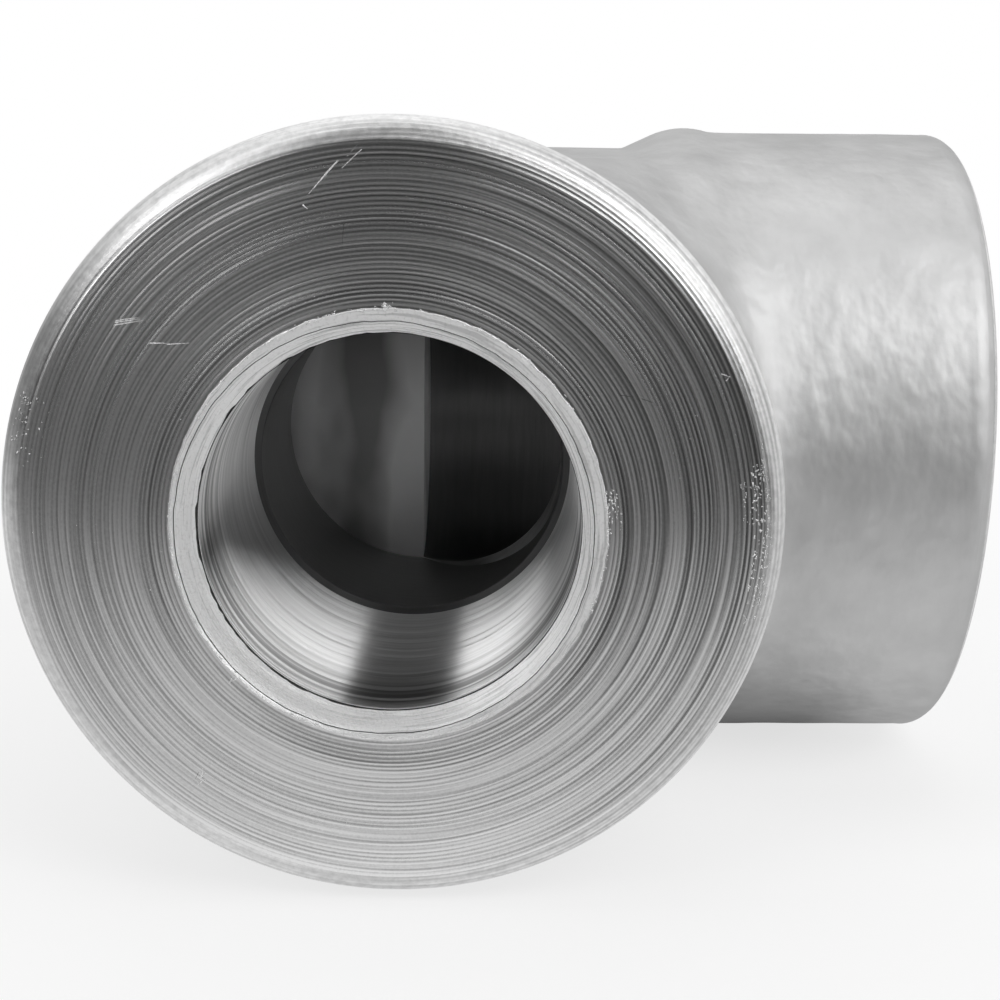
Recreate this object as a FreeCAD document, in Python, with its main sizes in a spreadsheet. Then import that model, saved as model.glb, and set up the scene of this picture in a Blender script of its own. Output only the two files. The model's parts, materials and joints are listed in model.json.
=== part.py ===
import FreeCAD, Part
import math
import os

import Sketcher

# A ninety degree pipe elbow: one forged solid, bored from both ends, in millimetres.
# The two bore axes cross at the origin. Arm a runs along -Y and arm b along +X, and Z is up.
# Every length along an arm is measured from the origin, and every radius from that arm's axis.

NODE = "elbow_body"

# Driving dimensions: name, value, meaning. Lengths are in millimetres and angles in degrees.
# A rise, drop, width or step is counted square to the arm's axis.
DIMENSIONS = [
    ("centre_to_face", 33.0, "from the crossing of the axes to each end face"),
    ("band_radius", 19.0, "outer radius of a band at its end face"),
    ("band_length", 15.2, "from the end face back to the start of the shoulder"),
    ("band_draft", 1.0, "taper of a band, which is thicker at the shoulder"),
    ("rim_radius", 1.5, "rounding of the outer edge of an end face"),
    ("crest_radius", 5.0, "rounding over the top of the shoulder, seen in section"),
    ("crest_rise", 0.2, "height of the crest over the band beside it"),
    ("ramp_angle", 25.0, "slope of the shoulder's ramp against the arm's axis"),
    ("shoulder_drop", 1.3, "from the crest down to the neck"),
    ("foot_radius", 1.0, "hollow where the shoulder meets the neck"),
    ("throat_radius", 6.0, "hollow of the inside corner of the bend, seen from above"),
    ("saddle_drop", 0.65, "from the top of the neck down to the flat that fills the corner"),
    ("bore_radius", 9.3, "radius of the turned bore"),
    ("bore_depth", 19.5, "from the end face to the end of the turned bore"),
    ("chamfer_width", 0.8, "width of the chamfer at the bore's mouth"),
    ("chamfer_angle", 45.0, "slope of that chamfer against the bore's axis"),
    ("lip_width", 0.3, "width of the shallow lip around the chamfer"),
    ("lip_depth", 0.2, "depth of that lip"),
    ("flow_step", 0.45, "width of the step from the turned bore down to the drilled passage"),
    ("cutter_clearance", 1.0, "how far a bore's cut starts outside its end face"),
]

FACE = "Sizes.centre_to_face"
SHOULDER = "(Sizes.centre_to_face - Sizes.band_length)"
SHOULDER_RADIUS = "(Sizes.band_radius + Sizes.band_length * tan(Sizes.band_draft))"
CREST_CENTRE = f"({SHOULDER_RADIUS} + Sizes.crest_rise - Sizes.crest_radius)"
NECK_RADIUS = f"({SHOULDER_RADIUS} + Sizes.crest_rise - Sizes.shoulder_drop)"
THROAT_REACH = f"({NECK_RADIUS} + Sizes.throat_radius)"
SADDLE_HEIGHT = f"({NECK_RADIUS} - Sizes.saddle_drop)"
LIP = "(Sizes.centre_to_face - Sizes.lip_depth)"
LIP_RADIUS = "(Sizes.bore_radius + Sizes.chamfer_width)"
CHAMFER_END = f"({LIP} - Sizes.chamfer_width / tan(Sizes.chamfer_angle))"

# How far an edge may lie from a plane and still count as on it.
TOLERANCE = 0.01

# A sketch's own numbers: the ends and centre of a piece of geometry, and the sketch's two axes.
START, END, CENTRE = range(1, 4)
AXIS_X, AXIS_Y = (-1, -2)


def make_sheet(doc):
    """Writes the driving dimensions into a spreadsheet, one row each."""
    sheet = doc.addObject("Spreadsheet::Sheet", "Sizes")
    for row, (alias, value, meaning) in enumerate(DIMENSIONS, start=1):
        sheet.set(f"A{row}", alias)
        sheet.set(f"B{row}", str(value))
        sheet.set(f"C{row}", meaning)
        sheet.setAlias(f"B{row}", alias)
    doc.recompute()
    return sheet


def origin_plane(body, role):
    """One of the body's own three planes."""
    return next(feature for feature in body.Origin.OriginFeatures if feature.Role == role)


def new_sketch(body, name, role):
    sketch = body.newObject("Sketcher::SketchObject", name)
    sketch.AttachmentSupport = [(origin_plane(body, role), "")]
    sketch.MapMode = "FlatFace"
    return sketch


def bind(sketch, constraint, name, expression):
    """Adds a dimension to a sketch and ties it to the driving dimensions."""
    index = sketch.addConstraint(constraint)
    sketch.renameConstraint(index, name)
    sketch.setExpression(f"Constraints.{name}", expression)


class ArmSketch:
    """A sketch in the plane of the two axes, drawn by distance along an arm and radius from it."""

    def __init__(self, body, name, arm):
        self.arm = arm
        self.sketch = new_sketch(body, name, "XY_Plane")

    def point(self, along, radius):
        if self.arm == "a":
            return FreeCAD.Vector(radius, -along, 0)
        return FreeCAD.Vector(along, radius, 0)

    def line(self, first, last):
        segment = Part.LineSegment(self.point(*first), self.point(*last))
        return self.sketch.addGeometry(segment, False)

    def arc(self, centre, first, last):
        """Adds the short arc between two points and says which of its ends is the first one."""
        middle = self.point(*centre)
        start = self.point(*first) - middle
        end = self.point(*last) - middle
        ends = (START, END)
        if start.cross(end).z < 0:
            start, end = end, start
            ends = (END, START)
        circle = Part.Circle(middle, FreeCAD.Vector(0, 0, 1), start.Length)
        angles = [math.atan2(spoke.y, spoke.x) for spoke in (start, end)]
        return self.sketch.addGeometry(Part.ArcOfCircle(circle, *angles), False), ends

    def join(self, first, first_end, second, second_end):
        meet = Sketcher.Constraint("Coincident", first, first_end, second, second_end)
        self.sketch.addConstraint(meet)

    def tangent(self, first, first_end, second, second_end):
        touch = Sketcher.Constraint("Tangent", first, first_end, second, second_end)
        self.sketch.addConstraint(touch)

    def on_axis(self, geometry, end):
        axis = AXIS_Y if self.arm == "a" else AXIS_X
        self.sketch.addConstraint(Sketcher.Constraint("PointOnObject", geometry, end, axis))

    def along_axis(self, geometry):
        kind = "Vertical" if self.arm == "a" else "Horizontal"
        self.sketch.addConstraint(Sketcher.Constraint(kind, geometry))

    def across_axis(self, geometry):
        kind = "Horizontal" if self.arm == "a" else "Vertical"
        self.sketch.addConstraint(Sketcher.Constraint(kind, geometry))

    def set_along(self, geometry, end, name, expression, start_value):
        """Fixes a point's distance from the origin along the arm."""
        if self.arm == "a":
            size = Sketcher.Constraint("DistanceY", geometry, end, AXIS_X, START, start_value)
        else:
            size = Sketcher.Constraint("DistanceX", AXIS_X, START, geometry, end, start_value)
        bind(self.sketch, size, name, expression)

    def set_radius(self, geometry, end, name, expression, start_value):
        """Fixes a point's distance from the arm's axis."""
        kind = "DistanceX" if self.arm == "a" else "DistanceY"
        size = Sketcher.Constraint(kind, AXIS_X, START, geometry, end, start_value)
        bind(self.sketch, size, name, expression)

    def set_arc_radius(self, geometry, name, expression, start_value):
        bind(self.sketch, Sketcher.Constraint("Radius", geometry, start_value), name, expression)

    def set_slope(self, geometry, name, expression, start_degrees):
        """Fixes the slope of a line, drawn outwards along the arm, against the arm's axis."""
        turn = -90 if self.arm == "a" else 0
        angle = math.radians(start_degrees + turn)
        size = Sketcher.Constraint("Angle", geometry, angle)
        bind(self.sketch, size, name, f"{expression} + ({turn})")


def band_end_radius(sheet):
    """Radius of a band where its shoulder starts."""
    return sheet.band_radius + sheet.band_length * math.tan(math.radians(sheet.band_draft))


def neck_radius(sheet):
    """Outer radius of the body between the bands."""
    return band_end_radius(sheet) + sheet.crest_rise - sheet.shoulder_drop


def outline_profile(body, arm, sheet):
    """Outside of one arm: band, shoulder and neck. Arm a also has the round back of the bend."""
    face = sheet.centre_to_face
    shoulder = face - sheet.band_length
    shoulder_radius = band_end_radius(sheet)
    neck = neck_radius(sheet)
    crest_centre_radius = shoulder_radius + sheet.crest_rise - sheet.crest_radius
    half_chord = math.sqrt(sheet.crest_radius**2 - (shoulder_radius - crest_centre_radius) ** 2)
    crest_centre = (shoulder - half_chord, crest_centre_radius)
    # the ramp touches both rounds, whose radii stand square to it
    slope = math.radians(sheet.ramp_angle)
    square = (-math.sin(slope), math.cos(slope))
    ramp_top = tuple(c + sheet.crest_radius * n for c, n in zip(crest_centre, square))
    foot_height = neck + sheet.foot_radius * (1 - square[1])
    ramp_run = (ramp_top[1] - foot_height) / math.tan(slope)
    foot_top = (ramp_top[0] - ramp_run, foot_height)
    foot_centre = tuple(c + sheet.foot_radius * n for c, n in zip(foot_top, square))
    foot_end = (foot_centre[0], neck)

    draw = ArmSketch(body, f"outline_{arm}", arm)
    end_face = draw.line((face, 0), (face, sheet.band_radius))
    band = draw.line((face, sheet.band_radius), (shoulder, shoulder_radius))
    crest_arc, crest_ends = draw.arc(crest_centre, (shoulder, shoulder_radius), ramp_top)
    ramp = draw.line(foot_top, ramp_top)
    foot_arc, foot_ends = draw.arc(foot_centre, foot_top, foot_end)
    neck_line = draw.line(foot_end, (0, neck))
    if arm == "a":
        back, back_ends = draw.arc((0, 0), (0, neck), (-neck, 0))
        centre_line = draw.line((-neck, 0), (face, 0))
    else:
        back = draw.line((0, neck), (0, 0))
        centre_line = draw.line((0, 0), (face, 0))

    draw.join(end_face, END, band, START)
    draw.join(band, END, crest_arc, crest_ends[0])
    draw.tangent(crest_arc, crest_ends[1], ramp, END)
    draw.tangent(ramp, START, foot_arc, foot_ends[0])
    draw.tangent(foot_arc, foot_ends[1], neck_line, START)
    draw.join(centre_line, END, end_face, START)
    draw.on_axis(end_face, START)
    draw.across_axis(end_face)
    draw.along_axis(neck_line)
    if arm == "a":
        draw.tangent(neck_line, END, back, back_ends[0])
        draw.join(back, back_ends[1], centre_line, START)
        draw.on_axis(back, back_ends[1])
        draw.join(back, CENTRE, AXIS_X, START)
    else:
        draw.join(neck_line, END, back, START)
        draw.join(back, END, centre_line, START)
        draw.across_axis(back)
        draw.join(back, END, AXIS_X, START)

    draw.set_along(end_face, START, "face", FACE, face)
    draw.set_radius(end_face, END, "band_radius", "Sizes.band_radius", sheet.band_radius)
    draw.set_along(band, END, "shoulder", SHOULDER, shoulder)
    draw.set_radius(band, END, "shoulder_radius", SHOULDER_RADIUS, shoulder_radius)
    draw.set_arc_radius(crest_arc, "crest_radius", "Sizes.crest_radius", sheet.crest_radius)
    draw.set_radius(crest_arc, CENTRE, "crest_centre", CREST_CENTRE, crest_centre_radius)
    draw.set_slope(ramp, "ramp_slope", "Sizes.ramp_angle", sheet.ramp_angle)
    draw.set_arc_radius(foot_arc, "foot_radius", "Sizes.foot_radius", sheet.foot_radius)
    draw.set_radius(neck_line, START, "neck_radius", NECK_RADIUS, neck)
    return draw


def bore_profile(body, arm, sheet):
    """Inside of one arm: lip, chamfer, turned bore, and the drilled passage to the crossing."""
    face = sheet.centre_to_face
    outside = face + sheet.cutter_clearance
    lip = face - sheet.lip_depth
    lip_radius = sheet.bore_radius + sheet.chamfer_width
    mouth_radius = lip_radius + sheet.lip_width
    chamfer_end = lip - sheet.chamfer_width / math.tan(math.radians(sheet.chamfer_angle))
    bore_end = face - sheet.bore_depth
    flow_radius = sheet.bore_radius - sheet.flow_step

    draw = ArmSketch(body, f"bore_{arm}", arm)
    corners = [
        (outside, 0),
        (outside, mouth_radius),
        (face, mouth_radius),
        (lip, lip_radius),
        (chamfer_end, sheet.bore_radius),
        (bore_end, sheet.bore_radius),
        (bore_end, flow_radius),
        (0, flow_radius),
        (0, 0),
    ]
    next_corners = corners[1:] + corners[:1]
    sides = [draw.line(first, last) for first, last in zip(corners, next_corners)]
    entry, mouth_wall, lip_cone, chamfer, bore, step, passage, bottom, centre_line = sides
    for side, next_side in zip(sides, sides[1:] + sides[:1]):
        draw.join(side, END, next_side, START)
    for side in (entry, step, bottom):
        draw.across_axis(side)
    for side in (mouth_wall, bore, passage):
        draw.along_axis(side)
    draw.on_axis(entry, START)
    draw.join(centre_line, START, AXIS_X, START)

    mouth_reach = f"{FACE} + Sizes.cutter_clearance"
    draw.set_along(entry, START, "outside", mouth_reach, outside)
    draw.set_radius(mouth_wall, START, "mouth_radius", f"{LIP_RADIUS} + Sizes.lip_width", mouth_radius)
    draw.set_along(lip_cone, START, "face", FACE, face)
    draw.set_along(chamfer, START, "lip", LIP, lip)
    draw.set_radius(chamfer, START, "lip_radius", LIP_RADIUS, lip_radius)
    draw.set_along(bore, START, "chamfer_end", CHAMFER_END, chamfer_end)
    draw.set_radius(bore, START, "bore_radius", "Sizes.bore_radius", sheet.bore_radius)
    draw.set_along(step, START, "bore_end", f"{FACE} - Sizes.bore_depth", bore_end)
    draw.set_radius(passage, START, "flow_radius", "Sizes.bore_radius - Sizes.flow_step", flow_radius)
    return draw


def throat_section(body, sheet):
    """Section of the bend's inside: the neck's circle with its top and bottom cut flat."""
    sketch = new_sketch(body, "throat_section", "XZ_Plane")
    sketch.setExpression("AttachmentOffset.Base.z", THROAT_REACH)
    neck = neck_radius(sheet)
    reach = neck + sheet.throat_radius
    height = neck - sheet.saddle_drop
    lean = math.asin(height / neck)
    half_width = neck * math.cos(lean)
    circle = Part.Circle(FreeCAD.Vector(0, 0, 0), FreeCAD.Vector(0, 0, 1), neck)

    def level_line(first_x, last_x, level):
        return Part.LineSegment(FreeCAD.Vector(first_x, level, 0), FreeCAD.Vector(last_x, level, 0))

    upright = Part.LineSegment(FreeCAD.Vector(reach, -height, 0), FreeCAD.Vector(reach, height, 0))
    right = sketch.addGeometry(Part.ArcOfCircle(circle, -lean, lean), False)
    top = sketch.addGeometry(level_line(half_width, -half_width, height), False)
    left = sketch.addGeometry(Part.ArcOfCircle(circle, math.pi - lean, math.pi + lean), False)
    bottom = sketch.addGeometry(level_line(-half_width, half_width, -height), False)
    pivot = sketch.addGeometry(upright, True)
    rules = [
        Sketcher.Constraint("Coincident", right, END, top, START),
        Sketcher.Constraint("Coincident", top, END, left, START),
        Sketcher.Constraint("Coincident", left, END, bottom, START),
        Sketcher.Constraint("Coincident", bottom, END, right, START),
        Sketcher.Constraint("Coincident", right, CENTRE, AXIS_X, START),
        Sketcher.Constraint("Coincident", left, CENTRE, AXIS_X, START),
        Sketcher.Constraint("Equal", right, left),
        Sketcher.Constraint("Horizontal", top),
        Sketcher.Constraint("Horizontal", bottom),
        Sketcher.Constraint("Vertical", pivot),
        Sketcher.Constraint("Horizontal", pivot, END, top, START),
        Sketcher.Constraint("Horizontal", pivot, START, bottom, END),
    ]
    sketch.addConstraint(rules)
    radius = Sketcher.Constraint("Radius", right, neck)
    above = Sketcher.Constraint("DistanceY", AXIS_X, START, top, START, height)
    below = Sketcher.Constraint("DistanceY", bottom, END, AXIS_X, START, height)
    away = Sketcher.Constraint("DistanceX", AXIS_X, START, pivot, START, reach)
    bind(sketch, radius, "radius", NECK_RADIUS)
    bind(sketch, above, "above", SADDLE_HEIGHT)
    bind(sketch, below, "below", SADDLE_HEIGHT)
    bind(sketch, away, "reach", THROAT_REACH)
    return sketch


def turn_profile(body, kind, name, profile):
    """Turns an arm's profile about that arm's axis, as added or cut material."""
    feature = body.newObject(kind, name)
    feature.Profile = profile.sketch
    axis = "V_Axis" if profile.arm == "a" else "H_Axis"
    feature.ReferenceAxis = (profile.sketch, [axis])
    feature.Angle = 360.0
    return feature


def turn_throat(body, section):
    """Turns the throat's section through the bend, from arm a to arm b."""
    feature = body.newObject("PartDesign::Revolution", "throat")
    feature.Profile = section
    feature.ReferenceAxis = (section, ["Axis0"])
    feature.Angle = 90.0
    feature.Reversed = True
    return feature


def round_rims(body, base, sheet):
    """Rounds the outer edge of both end faces."""
    inner_side = sheet.centre_to_face - TOLERANCE

    def on_end_face(edge):
        return edge.BoundBox.YMax < -inner_side or edge.BoundBox.XMin > inner_side

    edges = enumerate(base.Shape.Edges, start=1)
    rims = [f"Edge{number}" for number, edge in edges if on_end_face(edge)]
    feature = body.newObject("PartDesign::Fillet", "rims")
    feature.Base = (base, rims)
    feature.setExpression("Radius", "Sizes.rim_radius")
    return feature


def checked_volume(doc, feature, before, grows):
    """Recomputes and makes sure that a feature really added or removed material."""
    doc.recompute()
    volume = feature.Shape.Volume
    if (volume > before) != grows:
        raise RuntimeError(f"{feature.Name} changed the volume the wrong way")
    return volume


def make_elbow(doc, sheet):
    """The whole elbow: two turned arms joined at the bend, rounded, then bored from each face."""
    body = doc.addObject("PartDesign::Body", NODE)
    body.Label = NODE
    volume = 0.0
    for arm in ("a", "b"):
        outline = outline_profile(body, arm, sheet)
        solid = turn_profile(body, "PartDesign::Revolution", f"arm_{arm}", outline)
        volume = checked_volume(doc, solid, volume, grows=True)

    arms_size = solid.Shape.BoundBox.DiagonalLength
    throat = turn_throat(body, throat_section(body, sheet))
    volume = checked_volume(doc, throat, volume, grows=True)
    if throat.Shape.BoundBox.DiagonalLength > arms_size + TOLERANCE:
        raise RuntimeError("the throat turned away from the bend")

    rims = round_rims(body, throat, sheet)
    volume = checked_volume(doc, rims, volume, grows=False)
    for arm in ("a", "b"):
        hole = bore_profile(body, arm, sheet)
        cut = turn_profile(body, "PartDesign::Groove", f"cut_{arm}", hole)
        volume = checked_volume(doc, cut, volume, grows=False)
    body.Placement = FreeCAD.Placement()
    doc.recompute()
    return body


def check_document(doc, bodies):
    """Stops before anything is written if an object failed or a shape isn't a valid solid."""
    for item in doc.Objects:
        if "Invalid" in item.State or "Error" in item.State:
            raise RuntimeError(f"{item.Name} failed: {item.State}")
    for body in bodies:
        shape = body.Shape
        if shape.isNull() or not shape.isValid() or len(shape.Solids) != 1:
            raise RuntimeError(f"{body.Label} is not one valid solid")


def main():
    doc = FreeCAD.newDocument("elbow")
    sheet = make_sheet(doc)
    bodies = [make_elbow(doc, sheet)]
    check_document(doc, bodies)
    os.makedirs("parts", exist_ok=True)
    for body in bodies:
        shape = body.Shape
        shape.exportStep(f"parts/{body.Label}.step")
        box = shape.optimalBoundingBox()
        print(f"{body.Label}: volume {shape.Volume:.1f}, {len(shape.Faces)} faces")
        print(f"from ({box.XMin:.2f}, {box.YMin:.2f}, {box.ZMin:.2f})")
        print(f"to ({box.XMax:.2f}, {box.YMax:.2f}, {box.ZMax:.2f})")


main()
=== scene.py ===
import json
import math

import bpy
import numpy as np
from mathutils import Matrix, Vector, noise


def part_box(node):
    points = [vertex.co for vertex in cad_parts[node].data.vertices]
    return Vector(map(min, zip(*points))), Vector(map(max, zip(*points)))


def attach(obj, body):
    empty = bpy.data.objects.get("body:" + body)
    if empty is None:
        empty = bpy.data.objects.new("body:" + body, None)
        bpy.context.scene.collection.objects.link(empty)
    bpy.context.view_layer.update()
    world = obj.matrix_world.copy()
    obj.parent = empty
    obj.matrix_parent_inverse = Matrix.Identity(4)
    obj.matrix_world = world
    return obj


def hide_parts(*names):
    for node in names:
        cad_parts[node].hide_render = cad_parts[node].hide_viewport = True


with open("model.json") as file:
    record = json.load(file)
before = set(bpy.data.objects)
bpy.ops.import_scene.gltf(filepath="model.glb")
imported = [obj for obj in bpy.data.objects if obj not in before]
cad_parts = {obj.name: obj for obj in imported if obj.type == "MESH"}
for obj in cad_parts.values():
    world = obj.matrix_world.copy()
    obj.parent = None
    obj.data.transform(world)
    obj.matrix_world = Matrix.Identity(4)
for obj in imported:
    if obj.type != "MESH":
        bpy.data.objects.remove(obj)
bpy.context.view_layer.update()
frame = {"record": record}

# The looks of a forged ninety degree elbow whose end faces and bores are turned.
# Arm a runs along -Y and arm b along +X, and their axes cross at the origin.
# The mesh is drawn in millimetres and scaled to metres at the end.
# A place on an arm is its distance along the arm, its radius from the arm's axis and its angle
# round that axis, counted from the other arm's side.

MILLIMETRE = 0.001
NODE = "elbow_body"

# Sizes read from the frame, in millimetres.
LOW, HIGH = (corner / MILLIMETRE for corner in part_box(NODE))
SOCKET = next(mount for mount in frame["record"]["mounts"] if mount["name"] == "socket_a")
FACE = HIGH.x
BORE_RADIUS = SOCKET["dims"]["r_mm"]
CHAMFER_END = -SOCKET["pos_m"][1] / MILLIMETRE
BORE_END = CHAMFER_END - SOCKET["dims"]["length_mm"]

# The other sizes of the construction, in millimetres and degrees.
BAND_RADIUS = 19.0
BAND_LENGTH = 15.2
BAND_DRAFT = 1.0
RIM_RADIUS = 1.5
CREST_RADIUS = 5.0
CREST_RISE = 0.2
RAMP_ANGLE = 25.0
SHOULDER_DROP = 1.3
FOOT_RADIUS = 1.0
THROAT_RADIUS = 6.0
SADDLE_DROP = 0.65
CHAMFER_WIDTH = 0.8
LIP_WIDTH = 0.3
LIP_DEPTH = 0.2
FLOW_STEP = 0.45

# How far the real piece strays from those sizes, in millimetres.
FACE_SKIN = 0.06
BURRED_EDGE = 0.1
CHAMFER_SHIFT = (-0.2, -0.17)
OUTSIDE_SHIFT = (0.145, 0.155)
OVALITY = 0.06

# Places along an arm, and radii, that follow from those sizes.
DRAFT = math.radians(BAND_DRAFT)
SLOPE = math.tan(DRAFT)
RAMP = math.radians(RAMP_ANGLE)
FACE_LEVEL = FACE - FACE_SKIN
SHOULDER = FACE - BAND_LENGTH
SHOULDER_RADIUS = BAND_RADIUS + BAND_LENGTH * SLOPE
CREST_HEIGHT = SHOULDER_RADIUS + CREST_RISE - CREST_RADIUS
CREST_ALONG = SHOULDER - math.sqrt(CREST_RADIUS**2 - (CREST_RADIUS - CREST_RISE) ** 2)
NECK_RADIUS = SHOULDER_RADIUS + CREST_RISE - SHOULDER_DROP
RAMP_TOP = CREST_ALONG - CREST_RADIUS * math.sin(RAMP)
RAMP_TOP_HEIGHT = CREST_HEIGHT + CREST_RADIUS * math.cos(RAMP)
FOOT_TOP_HEIGHT = NECK_RADIUS + FOOT_RADIUS * (1 - math.cos(RAMP))
FOOT_TOP = RAMP_TOP - (RAMP_TOP_HEIGHT - FOOT_TOP_HEIGHT) / math.tan(RAMP)
FOOT_END = FOOT_TOP - FOOT_RADIUS * math.sin(RAMP)
THROAT_REACH = NECK_RADIUS + THROAT_RADIUS
RIM_START = FACE - RIM_RADIUS * (1 - math.sin(DRAFT))
RIM_CENTRE = BAND_RADIUS + RIM_RADIUS * SLOPE - RIM_RADIUS / math.cos(DRAFT)
MOUTH_RADIUS = BORE_RADIUS + CHAMFER_WIDTH + LIP_WIDTH + BURRED_EDGE
LIP_RADIUS = BORE_RADIUS + CHAMFER_WIDTH
FLOW_RADIUS = BORE_RADIUS - FLOW_STEP

# How finely the surface is divided.
COLUMNS = 192
NECK_ROWS = 18
FOOT_ROWS = 4
RAMP_ROWS = 3
CREST_ROWS = 9
BAND_ROWS = 32
RIM_ROWS = 5
RING_STEPS = 4
PASSAGE_ROWS = 8
BOTTOM_ROWS = 4

# The mesh's map along and round the turned surfaces, and its painted shade in the grooves.
TURNING_MAP = "turning"
GROOVE_SHADE = "groove"

# Keeps divisors off zero.
TINY = 1e-6

SEED = 4
random = np.random.default_rng(SEED)


def link(name, data, pose=Matrix.Identity(4)):
    """A new object in the scene, with its place and turn given by a matrix."""
    thing = bpy.data.objects.new(name, data)
    thing.matrix_world = pose
    bpy.context.scene.collection.objects.link(thing)
    return thing


def smooth_max(first, second, width):
    """The larger of two values, with the corner between them rounded over a width."""
    near = np.maximum(width - np.abs(first - second), 0) / width
    return np.maximum(first, second) + near**2 * width / 4


def smooth_min(first, second, width):
    """The smaller of two values, rounded in the same way."""
    return -smooth_max(-first, -second, width)


def smooth_step(value):
    """Rises softly from 0 to 1 while the value does, and holds the ends."""
    value = np.clip(value, 0, 1)
    return value**2 * (3 - 2 * value)


def facing(angle, degrees, middle, swing):
    """How much an angle faces a side, from 0 to 1: a wave round the arm, cut off softly."""
    return smooth_step(middle + swing * np.cos(angle - math.radians(degrees)))


def wander(angle, pace, row):
    """Smooth random values round an arm, from about -1 to 1, others for each row."""
    points = zip(np.cos(angle) * pace, np.sin(angle) * pace)
    return np.array([noise.noise(Vector((x, y, row))) for x, y in points])


def outer_radius(along):
    """Outside of a turned arm: band, crest, ramp, foot, neck, and the round back behind zero."""
    crest = CREST_HEIGHT + np.sqrt(np.maximum(CREST_RADIUS**2 - (along - CREST_ALONG) ** 2, 0))
    ramp = FOOT_TOP_HEIGHT + (along - FOOT_TOP) * math.tan(RAMP)
    foot_depth = np.sqrt(np.maximum(FOOT_RADIUS**2 - (along - FOOT_END) ** 2, 0))
    zones = [
        (along > SHOULDER, BAND_RADIUS + (FACE - along) * SLOPE),
        (along > RAMP_TOP, crest),
        (along > FOOT_TOP, ramp),
        (along > FOOT_END, NECK_RADIUS + FOOT_RADIUS - foot_depth),
        (along > 0, np.full_like(along, NECK_RADIUS)),
    ]
    back = np.sqrt(np.maximum(NECK_RADIUS**2 - along**2, 0))
    return np.select([place for place, radius in zones], [radius for place, radius in zones], back)


def arm_distance(along, radius):
    """Rough distance of a point from the outside of a turned arm."""
    behind = np.hypot(along, radius) - NECK_RADIUS
    return np.where(along > 0, radius - outer_radius(along), behind)


# How widely the forms run into each other, and over what distance that starts, in millimetres.
ARMS_BLEND = 1.0
THROAT_BLEND = 0.9
BLEND_FADE = 3.0


def bend_distance(along, side, height):
    """Rough distance from the outside of the whole bend, on the side that faces the other arm."""
    own = arm_distance(along, np.hypot(side, height))
    other = arm_distance(side, np.hypot(along, height))
    reach = np.hypot(side - THROAT_REACH, along - THROAT_REACH)
    fill = np.hypot(reach - THROAT_REACH, height) - NECK_RADIUS
    throat = np.maximum(fill, np.abs(height) - NECK_RADIUS + SADDLE_DROP)
    throat = np.where(np.maximum(side, along) < THROAT_REACH, throat, THROAT_REACH)
    fade = smooth_step(side / BLEND_FADE) + TINY
    return smooth_min(smooth_min(own, other, ARMS_BLEND * fade), throat, THROAT_BLEND * fade)


# How often the search for the surface halves its span.
HALVINGS = 40
# How far under the neck the search starts, and how far past its limit it ends, in millimetres.
SEARCH_DEPTH = 2.0
SEARCH_MARGIN = 0.01
# How the search stays clear of the open corner between the arms.
CORNER_GAP = 0.5
LEAST_COSINE = 0.5


def solve(distance, low, high):
    """Halves the span from low to high until each distance is nearly zero."""
    for _ in range(HALVINGS):
        middle = (low + high) / 2
        outside = distance(middle) > 0
        high = np.where(outside, middle, high)
        low = np.where(outside, low, middle)
    return (low + high) / 2


def seam(angle):
    """Radius at which each line of the outside meets the plane that halves the bend."""
    cosine = np.cos(angle)
    sine = np.sin(angle)
    back = NECK_RADIUS / np.sqrt(1 + cosine**2)

    def distance(radius):
        return bend_distance(radius * cosine, radius * cosine, radius * sine)

    open_corner = (THROAT_REACH - CORNER_GAP) / np.maximum(cosine, LEAST_COSINE)
    throat = solve(distance, back - SEARCH_DEPTH, open_corner)
    return np.where(cosine > 0, throat, back)


# Room that the neck and the foot keep where the seam comes near them, in millimetres.
LEAST_NECK = 1.2
LEAST_FOOT = 2.0
ROOM_BLEND = 1.0

# Soft hollows of the forged skin: their depth in millimetres, and their pace along and round it.
SWELL = 0.05
SWELL_ALONG = 0.5
SWELL_ROUND = 9.0


def forging_swell(along, angle):
    """How far the skin lies off the nominal form, which it never passes."""
    points = zip(along.ravel(), np.broadcast_to(angle, along.shape).ravel())
    hollows = [
        noise.noise(Vector((a * SWELL_ALONG, math.cos(t) * SWELL_ROUND, math.sin(t) * SWELL_ROUND)))
        for a, t in points
    ]
    return -SWELL * (0.5 + 0.5 * np.array(hollows).reshape(along.shape))


def out_of_round(angle):
    """How far the forged outside lies off the turned axis at the rim."""
    shift = OUTSIDE_SHIFT[0] * np.cos(angle) + OUTSIDE_SHIFT[1] * np.sin(angle)
    return shift + OVALITY * (1 - np.cos(2 * angle))


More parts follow.
